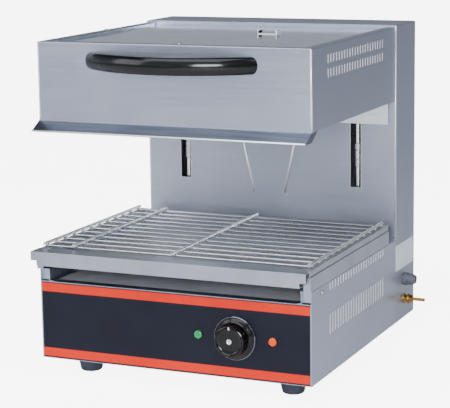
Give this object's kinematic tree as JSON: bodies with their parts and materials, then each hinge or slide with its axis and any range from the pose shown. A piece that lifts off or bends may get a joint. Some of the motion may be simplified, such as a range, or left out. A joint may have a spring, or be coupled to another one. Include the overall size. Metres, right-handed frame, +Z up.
{
  "type": "cheese melter",
  "caption": "Countertop cheese melter: a heated head that slides up and down a rear column, over a pull-out tray with a wire rack, on a base with a control panel and rubber feet.",
  "frame": {"origin": "on the counter, under the middle of the box round the whole object. The middle between its sides is at x = -16.9 mm, because the bonding stud stands out on the right, and the base's front face is at y = -223.08 mm", "axes": "+X to the user's right, +Y from the front to the back, +Z up"},
  "size_m": [0.4882, 0.5362, 0.526],
  "materials": {
    "stainless": "fine brushed stainless steel sheet",
    "bright_stainless": "bright annealed stainless steel sheet",
    "deck_steel": "dark polished sheet",
    "zinc_steel": "zinc-plated steel",
    "chrome": "chromed steel",
    "element_tube": "heat-tinted nickel alloy tube",
    "black_phenolic": "glossy black phenolic",
    "overlay_dark": "satin black plate with two orange-red bands",
    "lens_green": "green translucent lens",
    "lens_orange": "orange translucent lens",
    "nylon": "natural nylon",
    "rubber": "moulded rubber",
    "brass": "plain brass",
    "aluminium": "machined or foil aluminium",
    "ceramic": "unglazed steatite",
    "wool": "ceramic fibre mat"
  },
  "bodies": {
    "base": {"base_plate": "stainless", "side_panel_left": "stainless", "side_panel_right": "stainless", "front_panel": "stainless", "control_overlay": "overlay_dark", "deck_plate": "deck_steel", "thermostat_body": "ceramic", "pilot_lens_green": "lens_green", "pilot_lens_orange": "lens_orange", "pilot_holders": "nylon", "terminal_block": "ceramic", "foot_front_left": "rubber", "foot_front_right": "rubber", "foot_rear_left": "rubber", "foot_rear_right": "rubber", "foot_screws": "zinc_steel", "side_screws": "stainless", "column_shell": "stainless", "column_panel": "stainless", "rear_cover": "stainless", "cover_screws": "zinc_steel", "rod_bracket_lower": "zinc_steel", "rod_bracket_upper": "zinc_steel", "rod_nuts": "zinc_steel", "strut_bracket": "zinc_steel", "guide_rod_left": "chrome", "guide_rod_right": "chrome", "stop_collar_left": "aluminium", "stop_collar_right": "aluminium", "strut_tube_left": "zinc_steel", "strut_tube_right": "zinc_steel", "cable_gland": "nylon", "gland_nut": "nylon", "earth_stud": "brass", "earth_nuts": "brass", "rating_plate": "aluminium"},
    "head": {"carriage_beam": "zinc_steel", "carriage_plate": "bright_stainless", "carriage_block_left": "aluminium", "carriage_block_right": "aluminium", "guide_bushes_left": "brass", "guide_bushes_right": "brass", "strut_rod_left": "chrome", "strut_rod_right": "chrome", "head_casing": "stainless", "head_top_plate": "bright_stainless", "reflector_pan": "bright_stainless", "heating_element_front": "element_tube", "heating_element_middle": "element_tube", "heating_element_rear": "element_tube", "element_strip_left": "bright_stainless", "element_strip_right": "bright_stainless", "insulation_mat": "wool", "handle": "black_phenolic", "handle_screws": "zinc_steel"},
    "knob": {"control_knob": "black_phenolic", "knob_cap": "chrome", "thermostat_shaft": "zinc_steel"},
    "tray": {"tray_pan": "bright_stainless"},
    "rack": {"wire_rack": "chrome"}
  },
  "joints": [
    {"name": "head_lift", "type": "slide", "parent": "base", "child": "head", "axis": [0, 0, 1], "range_m": [-0.1, 0]},
    {"name": "tray_slide", "type": "slide", "parent": "base", "child": "tray", "axis": [0, -1, 0], "range_m": [0, 0.3]},
    {"name": "rack_lift", "type": "slide", "parent": "tray", "child": "rack", "axis": [0, 0, 1], "range_m": [0, 0.06]},
    {"name": "thermostat_knob", "type": "hinge", "parent": "base", "child": "knob", "pos_m": [0.0871, -0.22458, 0.0925], "axis": [0, 1, 0], "range_deg": [0, 270]}
  ]
}
